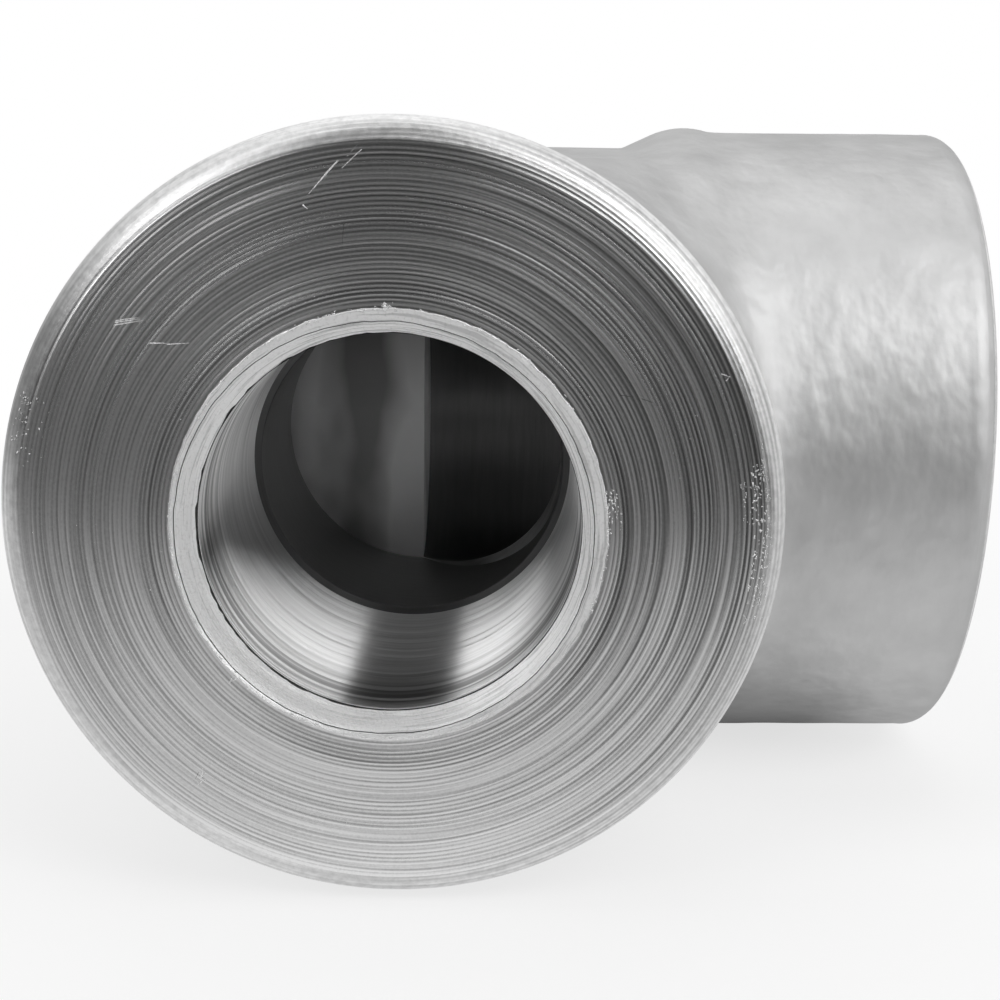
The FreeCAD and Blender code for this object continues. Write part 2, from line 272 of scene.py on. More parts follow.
def outside_rows(angle):
    """Distance along the arm and radius of the forged outside, from the seam to the rim."""
    cosine = np.cos(angle)
    end_radius = seam(angle)
    end = end_radius * cosine
    neck_start = smooth_max(np.full_like(end, FOOT_END), end + LEAST_NECK, ROOM_BLEND)
    shoulder = smooth_max(np.full_like(end, SHOULDER), neck_start + LEAST_FOOT, ROOM_BLEND)
    features = np.concatenate([
        np.linspace(FOOT_END, FOOT_TOP, FOOT_ROWS, endpoint=False),
        np.linspace(FOOT_TOP, RAMP_TOP, RAMP_ROWS, endpoint=False),
        np.linspace(RAMP_TOP, SHOULDER, CREST_ROWS, endpoint=False),
    ])
    shares = (features - FOOT_END) / (SHOULDER - FOOT_END)
    neck_rows = [end + (neck_start - end) * k / NECK_ROWS for k in range(NECK_ROWS)]
    shoulder_rows = [neck_start + (shoulder - neck_start) * share for share in shares]
    band_rows = [shoulder + (RIM_START - shoulder) * k / BAND_ROWS for k in range(BAND_ROWS)]
    along = np.array(neck_rows + shoulder_rows + band_rows)

    def distance(radius):
        return bend_distance(along, radius * cosine, radius * np.sin(angle))

    limit = np.where(cosine > 0, along / np.maximum(cosine, TINY), THROAT_REACH)
    limit = np.clip(limit, NECK_RADIUS - SEARCH_DEPTH / 2, THROAT_REACH) + SEARCH_MARGIN
    blended = solve(distance, np.full_like(along, NECK_RADIUS - SEARCH_DEPTH), limit)
    radius = np.where(cosine > 0, blended, outer_radius(along))
    radius[0] = end_radius
    radius += np.where(along > shoulder, forging_swell(along, angle), 0)
    radius += smooth_step((along - shoulder) / (RIM_START - shoulder)) * out_of_round(angle)
    return along, radius


# Where the grooves of the face end on the rounded rim, in degrees of its turn.
GROOVED_TURN = 60.0


def rim_rows(angle):
    """The smooth outer part of the rounded rim."""
    rows = []
    for turn in np.radians(np.linspace(90 - BAND_DRAFT, GROOVED_TURN, RIM_ROWS, endpoint=False)):
        along = FACE_LEVEL - RIM_RADIUS + RIM_RADIUS * math.cos(turn)
        rows.append((along, RIM_CENTRE + RIM_RADIUS * math.sin(turn) + out_of_round(angle)))
    return rows


# Turning grooves of the end face: pitch, depths and distance from the mouth, in millimetres.
GROOVE_PITCH = 0.212
SHALLOW_GROOVE = 0.011
DEEP_GROOVE = 0.009
# The groove depth that stands for full painted shade, in millimetres.
FULL_SHADE_DEPTH = 0.02
MOUTH_MARGIN = 0.05
# Where a groove's bottom lies between two crests, and how the depth varies among and along them.
GROOVE_BOTTOM = (0.42, 0.58)
GROOVE_STRENGTH = (0.7, 1)
WAVER = (0.6, 1.4)
# The side where the grooves are deepest, in degrees, their mean depth and its swing round the arm.
ROUGH_SIDE = 55
MEAN_DEPTH = 0.64
DEPTH_SWING = 0.36
# Radius, width and strength of each bundle of deeper grooves, and the strength between them.
GROOVE_BUNDLES = ((11.6, 0.7, 1.0), (14.7, 0.45, 0.7), (15.7, 0.4, 0.4), (17.5, 0.8, 0.6))
PLAIN_GROOVES = 0.25
# Where the rim is rubbed, outwards from its centre in millimetres, and what is left there.
RUB_START = 0.1
RUB_WIDTH = 0.5
RUBBED_GROOVES = 0.12


def bundle_strength(radius):
    """How strong the deeper grooves are at a radius."""
    parts = [share * math.exp(-((radius - at) / width) ** 2) for at, width, share in GROOVE_BUNDLES]
    return PLAIN_GROOVES + max(parts)


def rubbed(radius, angle):
    """How much of the grooves is left: rubbed off on the rim, but for the two sides."""
    beyond = smooth_step(np.array((radius - RIM_CENTRE - RUB_START) / RUB_WIDTH))
    inner_side = facing(angle, degrees=5, middle=0.5, swing=0.9)
    outer_side = 0.5 * facing(angle, degrees=180, middle=-1, swing=2)
    kept = RUBBED_GROOVES + (1 - RUBBED_GROOVES) * np.maximum(inner_side, outer_side)
    return 1 - beyond * (1 - kept)


def face_height(radius):
    """Distance along the arm of the turned face and of the rim's inner part."""
    beyond = max(radius - RIM_CENTRE, 0)
    return FACE_LEVEL - RIM_RADIUS + math.sqrt(RIM_RADIUS**2 - beyond**2)


def face_rows(angle):
    """Turning grooves of the end face, from the rim in: crest and bottom of each groove.

    Returns the rows, and the painted shade of each row: 0 on the crests, and more in deeper
    grooves.
    """
    outermost = RIM_CENTRE + RIM_RADIUS * math.sin(math.radians(GROOVED_TURN))
    innermost = MOUTH_RADIUS + MOUTH_MARGIN
    count = round((outermost - innermost) / GROOVE_PITCH)
    edges = np.linspace(outermost, innermost, count + 1)
    calm = MEAN_DEPTH + DEPTH_SWING * np.cos(angle - math.radians(ROUGH_SIDE))
    eccentric = out_of_round(angle)
    rows = []
    shades = []
    for k, (outer, inner) in enumerate(zip(edges, edges[1:])):
        share = min((outer - innermost) / (RIM_CENTRE - innermost), 1)
        deep = DEEP_GROOVE * bundle_strength(outer) * random.uniform(*GROOVE_STRENGTH)
        waver = np.clip(1 + 0.5 * wander(angle, pace=2.5, row=k * 1.7), *WAVER)
        depth = (SHALLOW_GROOVE + deep) * waver * calm * rubbed(outer, angle)
        bottom = outer + (inner - outer) * random.uniform(*GROOVE_BOTTOM)
        offset = eccentric * share**2
        rows.append((face_height(outer), outer + offset))
        rows.append((face_height(bottom) - depth, bottom + offset))
        # Painted shade in the groove's bottom, growing with its depth.
        shades += [0 * depth, depth / np.sqrt(calm) / FULL_SHADE_DEPTH]
    return rows, shades


# How far the edges of the mouth and of the chamfer wander, in millimetres.
MOUTH_WANDER = 0.05
EDGE_WANDER = 0.03
# The least width of the lip, and the height of the burr round it, in millimetres.
LEAST_LIP = 0.07
BURR = 0.04
# How deep the bore's edge is torn, in millimetres, and on which side, in degrees.
LEAST_TEAR = 0.01
TEAR = 0.055
TORN_SIDE = 172
# Fine lines on the chamfer: their share of the way in, and their depth.
CHAMFER_LINES = ((0.25, 0.012), (0.28, 0), (0.55, 0.016), (0.58, 0), (0.8, 0.01))


def mouth_rows(angle):
    """Lip, the dark line inside it, the off-centre chamfer, and the torn edge of the bore.

    Returns the rows, and which of the strips that follow them get painted shade.
    """
    shift = CHAMFER_SHIFT[0] * np.cos(angle) + CHAMFER_SHIFT[1] * np.sin(angle)
    ragged = wander(angle, pace=14, row=0.5) + 0.7 * wander(angle, pace=30, row=4.5)
    uneven = wander(angle, pace=18, row=7.5) + wander(angle, pace=50, row=2.5)
    mouth = MOUTH_RADIUS + MOUTH_WANDER * uneven
    edge = np.minimum(LIP_RADIUS + shift + EDGE_WANDER * ragged, mouth - LEAST_LIP)
    bites = np.clip(0.5 + 1.8 * ragged, 0.05, 1.3)
    torn_side = facing(angle, TORN_SIDE, middle=0.35, swing=0.9)
    tear = LEAST_TEAR + TEAR * torn_side * bites
    burr = BURR * np.clip(0.45 + 1.7 * wander(angle, pace=34, row=9.5), 0, 1)

    # The burr and the lip.
    lip = FACE - LIP_DEPTH
    rows = [
        (FACE_LEVEL - 0.006, mouth + 0.045),
        (FACE_LEVEL + burr, mouth + 0.012),
        (FACE_LEVEL + burr / 2 - 0.01, mouth - 0.02),
        ((FACE + lip) / 2, (mouth + edge) / 2),
    ]
    # The dark line, whose finish is painted shade.
    line = len(rows)
    rows += [
        (lip + 0.01, edge + 0.02),
        (lip - 0.06, edge + 0.004),
        (lip - 0.02, edge - 0.018),
    ]
    # The chamfer.
    top, outer = rows[-1]
    inner = BORE_RADIUS + 0.03
    for share, depth in CHAMFER_LINES:
        along = top + (CHAMFER_END - top) * share - depth
        rows.append((along, outer + (inner - outer) * share))
    # The torn edge, whose first strips get painted shade.
    torn = len(rows)
    rows += [
        (CHAMFER_END + 0.03 + 0.4 * tear, inner + tear),
        (CHAMFER_END - 0.1, BORE_RADIUS + 0.01 + 0.4 * tear),
        (CHAMFER_END - 0.08, BORE_RADIUS + 0.004),
    ]
    return rows, (line, line + 1, torn, torn + 1)


# Hollows of the bore's wall: where they start, and their pitch and depth, in millimetres.
WALL_START = CHAMFER_END - 0.25
RING_PITCH = 1.25
RING_DEPTH = 0.04
# How their pitch and depth vary.
PITCH_CHANGE = (0.7, 1.3)
DEPTH_CHANGE = (0.35, 1)
# Rounding of the step at the bore's end, in millimetres.
STEP_CORNER = 0.03
STEP_EDGE = 0.04


def wall_rows():
    """The turned wall: shallow hollows that the nose of the tool left, one after another."""
    along = WALL_START
    rows = []
    while along > BORE_END + RING_PITCH:
        pitch = RING_PITCH * random.uniform(*PITCH_CHANGE)
        depth = RING_DEPTH * random.uniform(*DEPTH_CHANGE)
        for k in range(RING_STEPS):
            share = k / RING_STEPS
            rows.append((along - pitch * share, BORE_RADIUS + 4 * depth * share * (1 - share)))
        along -= pitch
    rows.append((along, BORE_RADIUS))
    return rows


def step_rows():
    """The flat step from the bore in to the drilled passage."""
    return [
        (BORE_END, BORE_RADIUS - STEP_CORNER),
        (BORE_END, FLOW_RADIUS + STEP_EDGE),
        (BORE_END - STEP_EDGE, FLOW_RADIUS),
    ]


# The passage's wall ends at this many times the distance of the seam.
WALL_STOP = 1.5


def passage_points(angle):
    """The drilled passage down to the seam with the other one, and the flat bottom behind it."""
    cosine = np.cos(angle)
    side = FLOW_RADIUS * cosine
    height = FLOW_RADIUS * np.sin(angle)
    wall_end = np.where(cosine > 0, side * WALL_STOP, 0)
    start = BORE_END - STEP_EDGE
    points = []
    for k in range(1, PASSAGE_ROWS + 1):
        points.append((start + (wall_end - start) * k / PASSAGE_ROWS, side, height))
    for k in range(1, BOTTOM_ROWS + 1):
        share = k / BOTTOM_ROWS
        along = np.where(cosine > 0, side * (WALL_STOP + (1 - WALL_STOP) * share), 0)
        across = np.where(cosine > 0, side, side * (1 - share))
        points.append((along, across, height))
    return points


# The finishes by number; the dark line, the torn edge and the nicks get the one whose colour is
# painted shade.
FORGED, BROKEN_EDGE, TURNED, CHAMFERED, CREVICE_SHADE, BORED, DRILLED, MILLED = range(8)
# The broken edge's finish covers the grooves that lie this far outside the rim's centre.
EDGE_FINISH = 0.5
# On arm b the forged skin reaches over the rim to the first rows of grooves.
FIRST_GROOVE_ROWS = 3
OUTSIDE_ROWS = NECK_ROWS + FOOT_ROWS + RAMP_ROWS + CREST_ROWS + BAND_ROWS
FORGED_ROWS_B = OUTSIDE_ROWS + RIM_ROWS + FIRST_GROOVE_ROWS


def half_grid():
    """Points of arm a's half as rows of columns.

    Returns the points, the finish of the strip that follows each row, the rows that are creased,
    and the painted shade of each point in its groove.
    """
    angle = (np.arange(COLUMNS) + 0.5) * 2 * math.pi / COLUMNS
    cosine = np.cos(angle)
    sine = np.sin(angle)
    rows = []
    finish = []

    def add_row(along, side, height, kind):
        rows.append(np.stack([side, -along, height], axis=-1))
        finish.append(kind)

    def add_rings(rings, kind):
        for along, radius in rings:
            add_row(along + 0 * angle, radius * cosine, radius * sine, kind)

    add_rings(zip(*outside_rows(angle)), FORGED)
    add_rings(rim_rows(angle), BROKEN_EDGE)

    face_start = len(rows)
    grooves, shades = face_rows(angle)
    add_rings(grooves, TURNED)
    for row, (_, radius) in enumerate(grooves):
        if radius[0] > RIM_CENTRE + EDGE_FINISH:
            finish[face_start + row] = BROKEN_EDGE
    creased = set(range(face_start, len(rows)))

    mouth_start = len(rows)
    mouth, dark_strips = mouth_rows(angle)
    add_rings(mouth, CHAMFERED)
    # The dark line and the torn edge get painted shade.
    for row in dark_strips:
        finish[mouth_start + row] = CREVICE_SHADE

    wall_start = len(rows)
    add_rings(wall_rows(), BORED)
    creased.update(range(wall_start, len(rows), RING_STEPS))

    add_rings(step_rows(), DRILLED)
    for point in passage_points(angle):
        add_row(*point, DRILLED)
    for row in range(len(rows) - BOTTOM_ROWS - 1, len(rows)):
        finish[row] = MILLED

    # The painted shade in the grooves.
    groove_shades = np.zeros((len(rows), COLUMNS))
    groove_shades[face_start : face_start + len(shades)] = shades
    return np.array(rows), finish, creased, groove_shades


# How deep slivers are sunk, and how high they stand on the face and the rim, in millimetres.
SLIVER_SINK = 0.04
FACE_LIFT = 0.055
RIM_LIFT = 0.125
# The widths of nicks and scratches, in millimetres, and how far each end is drawn out.
NICK_WIDTH = 0.05
SCRATCH_WIDTH = 0.1
DRAWN_OUT = 0.25
# Where a sliver's tip stands along it, and its far end's width as a share of its near end's.
TIP_SHARE = 0.4
FAR_WIDTH = 0.4
# Scraps in the patches: lengths as shares of the patch's size.
SCRAP_LENGTHS = (0.4, 1.3)
# Their width, and how far they reach outwards, as shares of their length.
SCRAP_WIDTH = 0.4
SCRAP_OUTWARD = 0.45
# Long scratches with a raised edge, from and to a radius and an angle on arm a's face.
SCRATCHES = (
    ((15.92, 143.1), (14.98, 139.1)),
    ((15.97, 142.7), (15.1, 139.2)),
    ((15.99, 142.4), (15.2, 139.2)),
    ((14.15, 141.9), (13.5, 139.6)),
    ((13.5, 139.9), (12.75, 136.5)),
    ((18.2, 93.6), (17.3, 96.8)),
    ((17.4, 97.4), (16.05, 103.4)),
    ((17.9, 93.2), (16.9, 97.6)),
    ((15.66, 104.5), (15.42, 103.9)),
    ((18.44, 28.7), (18.6, 27.3)),
    ((17.43, 26.4), (18.0, 24.6)),
    ((17.5, 25.2), (17.9, 25.9)),
    ((17.7, 345.8), (18.2, 348.2)),
    ((17.6, 347.4), (18.0, 346.2)),
    ((10.5, 224.3), (11.1, 225.2)),
    ((10.5, 225.8), (10.9, 225.0)),
    ((15.3, 233.2), (16.3, 234.5)),
    ((15.4, 234.0), (16.1, 233.8)),
    ((15.7, 234.7), (16.2, 234.1)),
)
# Nicks, in the same way, whose finish is painted shade.
NICKS = (
    ((12.77, 31.6), (13.4, 29.4)),
    ((13.5, 29.1), (14.22, 26.1)),
    ((14.66, 98.0), (13.29, 99.3)),
    ((11.52, 102.6), (11.17, 103.3)),
    ((15.5, 232.9), (16.1, 233.3)),
)
# Where metal is chewed up or torn: radii, angles, how many scraps, and their size.
SCRAP_PATCHES = (
    ((17.5, 18.2), (-11, 12), 130, 0.3),
    ((18.1, 18.8), (-13, 14), 150, 0.3),
    ((16.9, 17.5), (2, 9), 30, 0.15),
    ((17.1, 18.5), (160, 171), 50, 0.14),
    ((17.6, 18.4), (30, 60), 26, 0.1),
    ((10.47, 10.62), (-22, 13), 60, 0.24),
    ((10.6, 11.15), (3, 12), 34, 0.22),
    ((10.42, 10.54), (115, 200), 110, 0.18),
    ((10.42, 10.56), (200, 300), 120, 0.16),
    ((10.44, 10.6), (30, 115), 90, 0.18),
    ((10.5, 10.8), (89, 92), 14, 0.34),
    ((10.8, 17.6), (0, 360), 170, 0.07),
)
SLIVER_FACES = ((3, 2, 1, 0), (0, 1, 4), (1, 2, 4), (2, 3, 4), (3, 0, 4))


def face_point(radius, degrees, lift):
    """A point of arm a's end, lifted off the turned face or the rim."""
    turn = math.radians(degrees)
    return np.array([radius * math.cos(turn), -face_height(radius) - lift, radius * math.sin(turn)])


def lengthened(start, end):
    """The same line drawn longer, because the thin ends of a sliver stay under the surface."""
    reach = (np.array(end) - start) * DRAWN_OUT
    return start - reach, end + reach


def sliver(start, end, width, lift):
    """A sharp sliver that stands on the surface: four corners sunk in it, and a tip."""
    near = face_point(*start, -SLIVER_SINK)
    far = face_point(*end, -SLIVER_SINK)
    side = np.cross(far - near, (0, 1, 0))
    side *= width / 2 / np.linalg.norm(side)
    middle = np.array(start) * (1 - TIP_SHARE) + np.array(end) * TIP_SHARE
    tip = face_point(*middle, lift)
    tip[1] = max(tip[1], -FACE)
    return [near - side, near + side, far + side * FAR_WIDTH, far - side * FAR_WIDTH, tip]


def make_slivers(first):
    """Nicks, scratches and chewed metal on arm a's end, as points and faces of closed slivers."""
    slivers = [sliver(*lengthened(*line), NICK_WIDTH, FACE_LIFT / 2) for line in NICKS]
    slivers += [sliver(*lengthened(*line), SCRATCH_WIDTH, FACE_LIFT) for line in SCRATCHES]
    for radii, angles, count, size in SCRAP_PATCHES:
        for _ in range(count):
            radius = random.uniform(*radii)
            degrees = random.uniform(*angles)
            length = size * random.uniform(*SCRAP_LENGTHS)
            lean = random.uniform(0, 2 * math.pi)
            far = radius + SCRAP_OUTWARD * length * math.cos(lean)
            turned = degrees + math.degrees(length * math.sin(lean) / radius)
            lift = FACE_LIFT if radius < RIM_CENTRE else RIM_LIFT
            slivers.append(sliver((radius, degrees), (far, turned), length * SCRAP_WIDTH, lift))
    faces = []
    for number in range(len(slivers)):
        start = first + number * len(slivers[0])
        faces += [[start + corner for corner in face] for face in SLIVER_FACES]
    return np.array(slivers).reshape(-1, 3), faces


def mirrored(points):
    """The same points on arm b, across the plane that halves the bend."""
    return points[..., [1, 0, 2]] * (-1, -1, 1)


def profile_lengths(rows):
    """Distance along the surface from the seam, the same for a whole row."""
    steps = np.linalg.norm(np.diff(rows, axis=0), axis=2).mean(axis=1)
    return np.concatenate([[0], np.cumsum(steps)])


def arm_faces(index, finish, lengths, order):
    """The four-sided faces of one arm's grid, in rings from the seam to the end of the passage.

    The order of a face's corners turns it outwards. Returns the faces, their finishes, and each
    corner's place in the turning map.
    """
    columns = np.arange(COLUMNS)
    following = (columns + 1) % COLUMNS
    faces = []
    charts = []
    for row, (length, next_length) in enumerate(zip(lengths, lengths[1:])):
        corners = [
            (index(row, columns), length, columns),
            (index(row, following), length, columns + 1),
            (index(row + 1, following), next_length, columns + 1),
            (index(row + 1, columns), next_length, columns),
        ]
        corners = [corners[k] for k in order]
        faces.append(np.stack([point for point, across, turn in corners], axis=1))
        places = [(np.full(COLUMNS, across), turn / COLUMNS) for point, across, turn in corners]
        charts.append(np.stack([np.stack(place, axis=1) for place in places], axis=1))
    kinds = np.repeat(finish[: len(faces)], COLUMNS)
    return np.concatenate(faces), kinds, np.concatenate(charts)


def crease_rings(mesh, first_count, creased):
    """Marks the edges along the given rows as sharp, so that each groove's sides meet in a line."""
    ends = np.zeros(len(mesh.edges) * 2, dtype=int)
    mesh.edges.foreach_get("vertices", ends)
    row_a = ends // COLUMNS
    row_b = (ends - first_count) // COLUMNS + 1
    rows = np.where(ends < first_count, row_a, row_b).reshape(-1, 2)
    along_ring = (rows[:, 0] == rows[:, 1]) & np.isin(rows[:, 0], list(creased))
    sharp = np.zeros(len(mesh.edges), dtype=bool)
    mark = mesh.attributes["sharp_edge"]
    mark.data.foreach_get("value", sharp)
    mark.data.foreach_set("value", sharp | along_ring)


# Edges that turn by more than this, in degrees, are sharp as well.
SHARP_TURN = 28


def make_elbow():
    """One closed mesh: arm a's grid, its mirror image, and the two loops that they share."""
    rows, finish, creased, groove_shades = half_grid()
    last = len(rows) - 1
    grid_a = rows.reshape(-1, 3)
    grid_b = mirrored(rows[1:-1]).reshape(-1, 3)
    sliver_points, sliver_faces = make_slivers(len(grid_a) + len(grid_b))
    points = np.concatenate([grid_a, grid_b, sliver_points])

    def index_a(row, column):
        return row * COLUMNS + column

    def index_b(row, column):
        if row in (0, last):
            return index_a(row, column)
        return len(grid_a) + (row - 1) * COLUMNS + column

    lengths = profile_lengths(rows)
    finish_b = [FORGED if k < FORGED_ROWS_B else kind for k, kind in enumerate(finish)]
    arms = [
        arm_faces(index_a, finish, lengths, (0, 1, 2, 3)),
        arm_faces(index_b, finish_b, lengths, (3, 2, 1, 0)),
    ]
    faces, kinds, charts = (np.concatenate(parts) for parts in zip(*arms))

    # The nicks get painted shade, the other slivers the chamfer's finish.
    nick_faces = len(NICKS) * len(SLIVER_FACES)
    sliver_kinds = np.where(np.arange(len(sliver_faces)) < nick_faces, CREVICE_SHADE, CHAMFERED)
    sliver_chart = points[np.concatenate(sliver_faces)][:, [0, 2]]
    kinds = np.concatenate([kinds, sliver_kinds])
    chart = np.concatenate([charts.reshape(-1, 2), sliver_chart])
    # Painted shade in the grooves of both arms, and none on the slivers.
    depths = [groove_shades.ravel(), groove_shades[1:-1].ravel(), np.zeros(len(sliver_points))]

    mesh = bpy.data.meshes.new("elbow_forging")
    mesh.from_pydata((points * MILLIMETRE).tolist(), [], faces.tolist() + sliver_faces)
    mesh.polygons.foreach_set("material_index", kinds)
    mesh.shade_smooth()
    turning = mesh.uv_layers.new(name=TURNING_MAP)
    turning.uv.foreach_set("vector", chart.astype(np.float32).ravel())
    # The painted shade in the grooves, which the materials read.
    groove = mesh.attributes.new(GROOVE_SHADE, "FLOAT", "POINT")
    groove.data.foreach_set("value", np.concatenate(depths).astype(np.float32))
    mesh.set_sharp_from_angle(angle=math.radians(SHARP_TURN))
    crease_rings(mesh, len(grid_a), creased)
    mesh.validate()
    mesh.update()
    return link("elbow_forging", mesh)


class Nodes:
    """Short ways to add nodes to a shader's tree."""

    def __init__(self, tree):
        self.tree = tree

    def feed(self, socket, value):
        """Links an output to a socket, or sets the socket's value."""
        if isinstance(value, bpy.types.NodeSocket):
            self.tree.links.new(value, socket)
        else:
            socket.default_value = value

    def add(self, kind, inputs=None, **settings):
        """A node with its settings, and with inputs by name or number."""
        node = self.tree.nodes.new(kind)
        for name, value in settings.items():
            setattr(node, name, value)
        for socket, value in (inputs or {}).items():
            self.feed(node.inputs[socket], value)
        return node

    def math(self, operation, *values):
        """Arithmetic on single values."""
        node = self.add("ShaderNodeMath", operation=operation)
        for socket, value in zip(node.inputs, values):
            self.feed(socket, value)
        return node.outputs[0]

    def product(self, first, *others):
        """All the values multiplied together."""
        for other in others:
            first = self.math("MULTIPLY", first, other)
        return first

    def vector(self, operation, inputs, output="Vector"):
        """Arithmetic on vectors."""
        return self.add("ShaderNodeVectorMath", inputs, operation=operation).outputs[output]

    def split(self, vector):
        """The three parts of a vector."""
        return self.add("ShaderNodeSeparateXYZ", {"Vector": vector}).outputs

    def combine(self, x, y, z):
        """A vector of three parts."""
        return self.add("ShaderNodeCombineXYZ", {"X": x, "Y": y, "Z": z}).outputs[0]

    def noise(self, vector, scale, detail=2.0, roughness=0.5):
        """Cloudy values, mostly from 0.3 to 0.7."""
        inputs = {"Vector": vector, "Scale": scale, "Detail": detail, "Roughness": roughness}
        return self.add("ShaderNodeTexNoise", inputs).outputs["Fac"]

    def span(self, value, low, high, start=0.0, end=1.0):
        """Maps start to end onto low to high, and holds the ends."""
        inputs = {"Value": value, "From Min": start, "From Max": end, "To Min": low, "To Max": high}
        return self.add("ShaderNodeMapRange", inputs).outputs["Result"]

    def blend(self, share, first, second):
        """From the first value to the second as the share grows from 0 to 1."""
        inputs = {"Factor": share, "A": first, "B": second}
        return self.add("ShaderNodeMix", inputs, data_type="FLOAT").outputs["Result"]

    def tint(self, value, low=0.0, high=1.0):
        """A neutral colour between two levels of grey."""
        level = self.span(value, low, high)
        inputs = {"Red": level, "Green": level, "Blue": level}
        return self.add("ShaderNodeCombineColor", inputs).outputs[0]

    def bump(self, height, distance, strength, normal=None):
        """A normal that tilts with a height, whose distance is in millimetres."""
        inputs = {"Height": height, "Distance": distance * MILLIMETRE, "Strength": strength}
        if normal is not None:
            inputs["Normal"] = normal
        return self.add("ShaderNodeBump", inputs).outputs["Normal"]

    def place(self):
        """Place in the frame, in millimetres."""
        where = self.add("ShaderNodeTexCoord").outputs["Object"]
        return self.vector("SCALE", {0: where, "Scale": 1 / MILLIMETRE})

    def across_marks(self):
        """The direction along the turned profile, square to the turning marks."""
        node = self.add("ShaderNodeTangent", direction_type="UV_MAP", uv_map=TURNING_MAP)
        return node.outputs["Tangent"]

    def lean(self, slope):
        """The surface's normal, leant along the turned profile by a slope, towards the rim."""
        normal = self.add("ShaderNodeNewGeometry").outputs["Normal"]
        inward = self.math("MULTIPLY", slope, -1.0)
        aside = self.vector("SCALE", {0: self.across_marks(), "Scale": inward})
        total = self.vector("ADD", {0: normal, 1: aside})
        return self.vector("NORMALIZE", {0: total})

    def groove_shade_lines(self, crest, bottom):
        """A level for the crests of the turning grooves, falling to a painted shade in the deep
        ones.
        """
        depth = self.add("ShaderNodeAttribute", attribute_name=GROOVE_SHADE).outputs["Fac"]
        return self.span(depth, crest, bottom, end=0.9)

    def ring_place(self, pace):
        """Place across the turning marks in millimetres, changing at a slow pace round the arm."""
        chart = self.add("ShaderNodeUVMap", uv_map=TURNING_MAP).outputs["UV"]
        across = self.split(chart)["X"]
        where = self.split(self.place())
        side = self.math("ADD", where["X"], where["Y"])
        round_x = self.math("MULTIPLY", side, pace)
        round_z = self.math("MULTIPLY", where["Z"], pace)
        return self.combine(across, round_x, round_z)


class Metal(Nodes):
    """A node material with a metal shader, whose gloss may spread across the turning marks."""

    def __init__(self, name, anisotropic=0.0):
        self.material = bpy.data.materials.new(name)
        self.material.use_nodes = True
        super().__init__(self.material.node_tree)
        self.surface = self.tree.nodes["Principled BSDF"].inputs
        self.surface["Metallic"].default_value = 1.0
        self.surface["Anisotropic"].default_value = anisotropic
        if anisotropic > 0:
            self.feed(self.surface["Tangent"], self.across_marks())

    def dress(self, colour, roughness, normal):
        """Sets what varies over the surface, and returns the material."""
        self.feed(self.surface["Base Color"], colour)
        self.feed(self.surface["Roughness"], roughness)
        self.feed(self.surface["Normal"], normal)
        return self.material


# The middle of a noise's range, which is spread over the whole of an effect.
MOST = (0.3, 0.7)


def forged_material():
    """Satin skin left by forging and blasting, with soft dimples and a fine grain."""
    metal = Metal("forged_skin")
    metal.surface["Specular Tint"].default_value = (0.45, 0.45, 0.45, 1)
    place = metal.place()
    leaning = metal.add("ShaderNodeMapping", {
        "Vector": place,
        "Rotation": (0.0, math.radians(18), 0.0),
        "Scale": (1.7, 1.7, 1.1),
    }).outputs[0]
    dimples = metal.noise(leaning, scale=0.44, detail=1.7)
    grain = metal.noise(place, scale=7.0, detail=3.0, roughness=0.6)
    cloud = metal.noise(place, scale=0.3, detail=3.0)
    normal = metal.bump(dimples, distance=0.3, strength=0.45)
    normal = metal.bump(grain, distance=0.006, strength=0.5, normal=normal)
    return metal.dress(metal.tint(cloud, 0.56, 0.79), metal.span(grain, 0.54, 0.6), normal)


def broken_edge_material():
    """The rubbed rim, brushed more softly than the face, with painted shade in its grooves and at
    the upper left.
    """
    metal = Metal("broken_edge", anisotropic=0.35)
    streaks = metal.noise(metal.ring_place(0.03), scale=3.5)
    mottle = metal.noise(metal.place(), scale=2.5, detail=3.0, roughness=0.6)
    slope = metal.span(streaks, -0.1, 0.1, *MOST)
    normal = metal.bump(mottle, distance=0.03, strength=0.7, normal=metal.lean(slope))
    # Painted shade on the rim at the upper left, where less light falls.
    where = metal.split(metal.place())
    upper_left_shade = metal.product(
        metal.span(where["Z"], 0.0, 1.0, start=0, end=5),
        metal.span(where["Z"], 1.0, 0.0, start=9, end=15),
        metal.span(where["X"], 1.0, 0.0, start=-15, end=-9),
    )
    # One factor of the level is the painted shade in the deep grooves.
    level = metal.product(
        metal.span(streaks, 0.68, 0.86, 0.35, 0.6),
        metal.span(mottle, 0.88, 1.04, 0.35, 0.6),
        metal.groove_shade_lines(crest=1.12, bottom=0.62),
        metal.span(upper_left_shade, 1.0, 0.45),
    )
    return metal.dress(metal.tint(level), metal.span(mottle, 0.38, 0.5), normal)


def turned_material():
    """Bright turned steel, with light and dark lines round the arm, and painted shade in the deep
    grooves.
    """
    metal = Metal("turned_metal", anisotropic=0.6)
    lines = metal.noise(metal.ring_place(0.008), scale=8.5, detail=0.0)
    bands = metal.noise(metal.ring_place(0.015), scale=0.7)
    specks = metal.noise(metal.place(), scale=8.0)
    normal = metal.lean(metal.span(lines, -0.07, 0.07, *MOST))
    where = metal.split(metal.place())
    inner_side = metal.product(
        metal.span(where["X"], 0.25, 1.0, start=-12, end=13),
        metal.span(where["Z"], 0.1, 1.0, start=-12, end=0),
    )
    faint = metal.span(lines, 0.9, 1.0, 0.4, 0.56)
    strong = metal.span(lines, 0.5, 1.15, 0.4, 0.6)
    # One factor of the level is the painted shade in the deep grooves.
    level = metal.product(
        metal.blend(inner_side, faint, strong),
        metal.span(bands, 0.84, 0.94, *MOST),
        metal.span(specks, 0.92, 1.06, *MOST),
        metal.groove_shade_lines(crest=1.3, bottom=0.44),
    )
    return metal.dress(metal.tint(level), metal.span(bands, 0.24, 0.32), normal)


